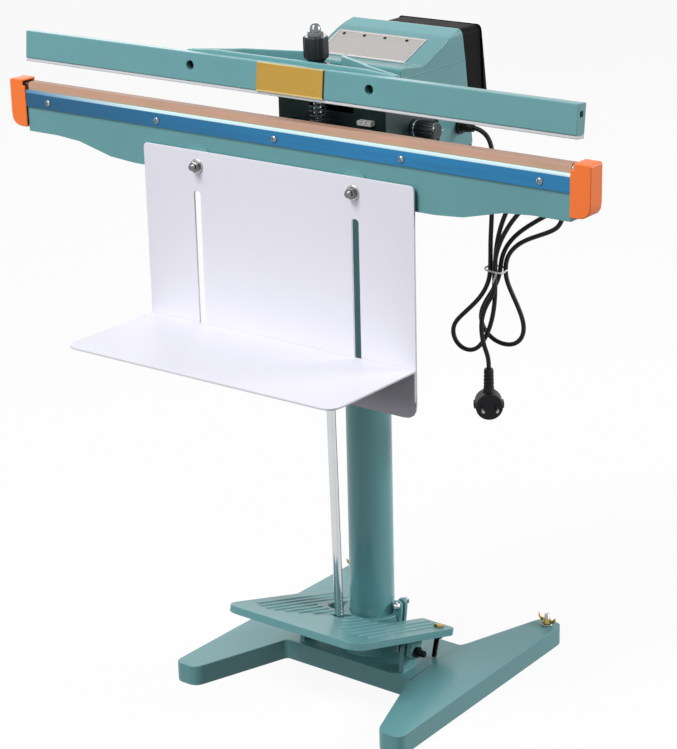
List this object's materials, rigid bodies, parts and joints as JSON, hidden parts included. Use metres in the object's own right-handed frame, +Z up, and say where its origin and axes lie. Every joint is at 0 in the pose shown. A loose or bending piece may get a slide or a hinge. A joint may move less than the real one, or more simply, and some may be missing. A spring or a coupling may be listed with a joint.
{
  "type": "foot pedal heat sealer",
  "caption": "Floor-standing impulse heat sealer: a pedal on an H-shaped base pulls a rod that closes a long upper jaw on a wired lower jaw, over a height-adjustable shelf.",
  "frame": {"origin": "on the floor under the middle of the footprint of the machine without its cord", "axes": "+X to the user's right along the jaws, +Y to the back, +Z up"},
  "size_m": [0.932, 0.57, 0.9435],
  "materials": {
    "teal_enamel": "smooth baked enamel, satin gloss",
    "painted_aluminium": "baked enamel on an aluminium bar",
    "dark_enamel": "dark green enamel on cast iron",
    "white_enamel": "matt white powder coat",
    "chrome": "polished",
    "zinc": "zinc plated",
    "aluminium_bar": "mill finish",
    "yellow_zinc": "yellow zinc plated",
    "gold_plate": "gold anodised sheet",
    "blue_strip": "glossy blue film on a metal strip",
    "ptfe_cloth": "brown coated glass cloth",
    "silicone": "pale grey silicone",
    "orange_plastic": "moulded, satin",
    "black_plastic": "moulded, fine grain",
    "panel": "brushed panel plate",
    "circuit_board": "board with soldered parts",
    "coil": "varnished iron core and copper winding",
    "ceramic": "white insulating material",
    "cord_rubber": "smooth black sheath",
    "tie": "white coated wire"
  },
  "bodies": {
    "base": {"base_frame": "teal_enamel", "column_clamp_screw": "zinc", "leveller_left": "yellow_zinc", "leveller_right": "yellow_zinc", "column_tube": "teal_enamel", "pedal_pivot_left": "zinc", "pedal_pivot_right": "zinc", "head_casting": "dark_enamel", "housing_lid": "teal_enamel", "rear_cover": "black_plastic", "panel_plate": "panel", "timer_board": "circuit_board", "transformer": "coil", "microswitch": "black_plastic", "terminal_block": "ceramic", "pivot_axle": "zinc", "lower_jaw_beam": "teal_enamel", "sealing_bar": "aluminium_bar", "insulating_strip": "ceramic", "heating_wire": "zinc", "ptfe_cloth": "ptfe_cloth", "front_clamp_strip": "blue_strip", "rear_clamp_strip": "zinc", "strip_screw_1": "zinc", "strip_screw_2": "zinc", "strip_screw_3": "zinc", "strip_screw_4": "zinc", "strip_screw_5": "zinc", "end_cap_left": "orange_plastic", "end_cap_right": "orange_plastic", "tension_post_left": "zinc", "tension_post_right": "zinc", "shelf_back_plate": "white_enamel", "shelf_bolt_left": "zinc", "shelf_bolt_right": "zinc", "return_spring": "zinc", "cord_gland": "cord_rubber", "cord_lead": "cord_rubber", "cord_hank": "cord_rubber", "cord_tail": "cord_rubber", "cord_tie": "tie", "power_plug": "cord_rubber"},
    "tray": {"shelf_tray": "white_enamel", "tray_bolt_left": "zinc", "tray_bolt_right": "zinc"},
    "pedal": {"pedal_plate": "teal_enamel", "pedal_stop_bolt": "yellow_zinc"},
    "arm": {"yoke_arm": "teal_enamel", "upper_jaw_bar": "painted_aluminium", "silicone_strip": "silicone", "name_plate": "gold_plate", "jaw_screw_left": "zinc", "jaw_screw_right": "zinc"},
    "rod": {"pull_rod": "chrome", "rod_pin": "zinc", "pressure_spring": "zinc", "dome_nut": "chrome"},
    "knob": {"pressure_knob": "black_plastic"},
    "time_dial": {"time_knob": "zinc"}
  },
  "joints": [
    {"name": "jaw_hinge", "type": "hinge", "parent": "base", "child": "arm", "pos_m": [0, 0.165, 0.858], "axis": [1, 0, 0], "range_deg": [0, 5.9], "stiffness_Nm_per_rad": 60, "springref_deg": -20.05, "deforming": ["return_spring"]},
    {"name": "rod_hinge", "type": "hinge", "parent": "arm", "child": "rod", "pos_m": [0, -0.01761, 0.88089], "axis": [1, 0, 0], "range_deg": [-6.5, 0.5]},
    {"name": "pedal_hinge", "type": "hinge", "parent": "base", "child": "pedal", "pos_m": [0, 0.04, 0.06], "axis": [1, 0, 0], "range_deg": [0, 26]},
    {"name": "pressure_turn", "type": "hinge", "parent": "rod", "child": "knob", "pos_m": [0, -0.01761, 0.88089], "axis": [0, -0.0221, 0.9998], "range_deg": [-180, 180]},
    {"name": "time_turn", "type": "hinge", "parent": "base", "child": "time_dial", "pos_m": [0.1, 0.074, 0.799], "axis": [1, 0, 0], "range_deg": [-150, 150]},
    {"name": "tray_slide", "type": "slide", "parent": "base", "child": "tray", "axis": [0, 0, 1], "range_m": [0, 0.18]}
  ],
  "couplings": [
    {"joint": "pedal_hinge", "follows": "jaw_hinge", "ratio": 4.39},
    {"joint": "rod_hinge", "follows": "jaw_hinge", "ratio": -1}
  ]
}
